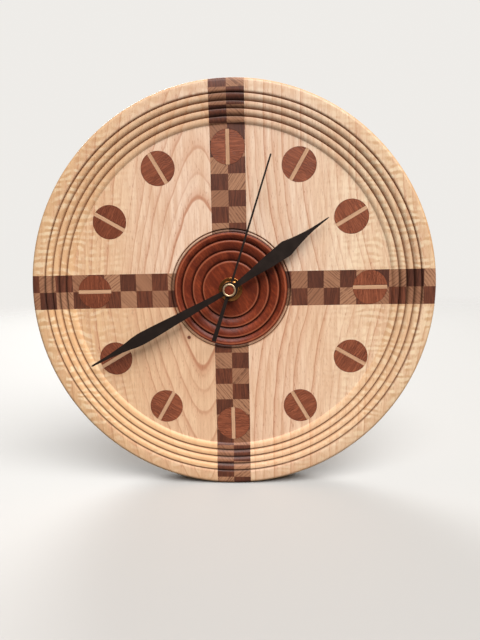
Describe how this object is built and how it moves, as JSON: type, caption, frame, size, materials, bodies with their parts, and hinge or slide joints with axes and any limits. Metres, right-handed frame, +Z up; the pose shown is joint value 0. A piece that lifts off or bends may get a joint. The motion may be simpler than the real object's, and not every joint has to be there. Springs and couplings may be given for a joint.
{
  "type": "wall clock",
  "caption": "Round turned wooden wall clock with a chequered cross, dark plug hour marks, dark hands and a battery quartz movement in a back recess.",
  "frame": {"origin": "the nail's seat in the hanger, in the wall plane, 40 mm above the dial's axis", "axes": "+Z up, +Y from the dial into the wall, +X to the viewer's right; the dial faces -Y"},
  "size_m": [0.3, 0.039, 0.3],
  "materials": {
    "ash": "satin",
    "chequer": "satin",
    "mahogany": "satin",
    "walnut": "satin",
    "maple": "satin",
    "brass": "polished",
    "steel": "satin",
    "black_hand": "satin black",
    "black_plastic": "moulded",
    "white_plastic": "moulded",
    "rubber": "matt",
    "board": "satin",
    "copper": "enamelled wire",
    "magnet": "sintered",
    "battery_can": "printed sleeve"
  },
  "bodies": {
    "clock_body": {"ash_quadrant_upper_right": "ash", "ash_quadrant_lower_right": "ash", "ash_quadrant_lower_left": "ash", "ash_quadrant_upper_left": "ash", "cross_bar": "chequer", "cross_arm_right": "chequer", "cross_arm_left": "chequer", "medallion": "mahogany", "hour_plug_01": "walnut", "hour_plug_02": "walnut", "hour_plug_03": "walnut", "hour_plug_04": "walnut", "hour_plug_05": "walnut", "hour_plug_06": "walnut", "hour_plug_07": "walnut", "hour_plug_08": "walnut", "hour_plug_09": "walnut", "hour_plug_10": "walnut", "hour_plug_11": "walnut", "hour_plug_12": "walnut", "hour_line_01": "maple", "hour_line_02": "maple", "hour_line_03": "maple", "hour_line_04": "maple", "hour_line_05": "maple", "hour_line_06": "maple", "hour_line_07": "maple", "hour_line_08": "maple", "hour_line_09": "maple", "hour_line_10": "maple", "hour_line_11": "maple", "hour_line_12": "maple", "movement_case": "black_plastic", "movement_cover": "black_plastic", "train_bridge": "white_plastic", "threaded_bushing": "brass", "hanger": "steel", "rubber_washer": "rubber", "brass_washer": "brass", "hex_nut": "brass", "stator": "steel", "coil": "copper", "circuit_board": "board", "contact_positive": "steel", "contact_negative": "steel"},
    "seconds": {"seconds_wheel": "steel", "seconds_hand": "black_hand", "seconds_cap": "brass", "seconds_insert": "mahogany"},
    "minutes": {"centre_wheel": "brass", "minute_hand": "black_hand", "minute_nut": "brass"},
    "hours": {"hour_wheel": "brass", "hour_hand": "black_hand"},
    "third": {"third_wheel": "white_plastic"},
    "motion_work": {"minute_wheel": "white_plastic"},
    "knob": {"setting_knob": "white_plastic"},
    "intermediate": {"intermediate_wheel": "white_plastic"},
    "rotor": {"rotor": "magnet"},
    "battery": {"battery": "battery_can"}
  },
  "joints": [
    {"name": "seconds_spin", "type": "hinge", "parent": "clock_body", "child": "seconds", "pos_m": [0, 0, -0.04], "axis": [0, 1, 0], "continuous": true},
    {"name": "minutes_spin", "type": "hinge", "parent": "clock_body", "child": "minutes", "pos_m": [0, 0, -0.04], "axis": [0, 1, 0], "continuous": true},
    {"name": "hours_spin", "type": "hinge", "parent": "clock_body", "child": "hours", "pos_m": [0, 0, -0.04], "axis": [0, 1, 0], "continuous": true},
    {"name": "third_spin", "type": "hinge", "parent": "clock_body", "child": "third", "pos_m": [-0.00369, -0.0115, -0.02985], "axis": [0, 1, 0], "continuous": true},
    {"name": "motion_work_spin", "type": "hinge", "parent": "clock_body", "child": "motion_work", "pos_m": [-0.00788, -0.0125, -0.04139], "axis": [0, 1, 0], "continuous": true},
    {"name": "knob_spin", "type": "hinge", "parent": "clock_body", "child": "knob", "pos_m": [-0.01576, -0.0008, -0.04278], "axis": [0, 1, 0], "continuous": true},
    {"name": "intermediate_spin", "type": "hinge", "parent": "clock_body", "child": "intermediate", "pos_m": [0.00827, -0.0055, -0.04146], "axis": [0, 1, 0], "continuous": true},
    {"name": "rotor_spin", "type": "hinge", "parent": "clock_body", "child": "rotor", "pos_m": [0.01504, -0.0038, -0.039], "axis": [0, 1, 0], "continuous": true},
    {"name": "battery_slide", "type": "slide", "parent": "clock_body", "child": "battery", "axis": [0, 1, 0], "range_m": [0, 0.02]}
  ],
  "couplings": [
    {"joint": "minutes_spin", "follows": "seconds_spin", "ratio": 0.016667},
    {"joint": "hours_spin", "follows": "seconds_spin", "ratio": 0.0013889},
    {"joint": "third_spin", "follows": "seconds_spin", "ratio": -0.13333},
    {"joint": "motion_work_spin", "follows": "seconds_spin", "ratio": -0.0055556},
    {"joint": "knob_spin", "follows": "seconds_spin", "ratio": 0.016667},
    {"joint": "intermediate_spin", "follows": "seconds_spin", "ratio": -6},
    {"joint": "rotor_spin", "follows": "seconds_spin", "ratio": 30}
  ]
}
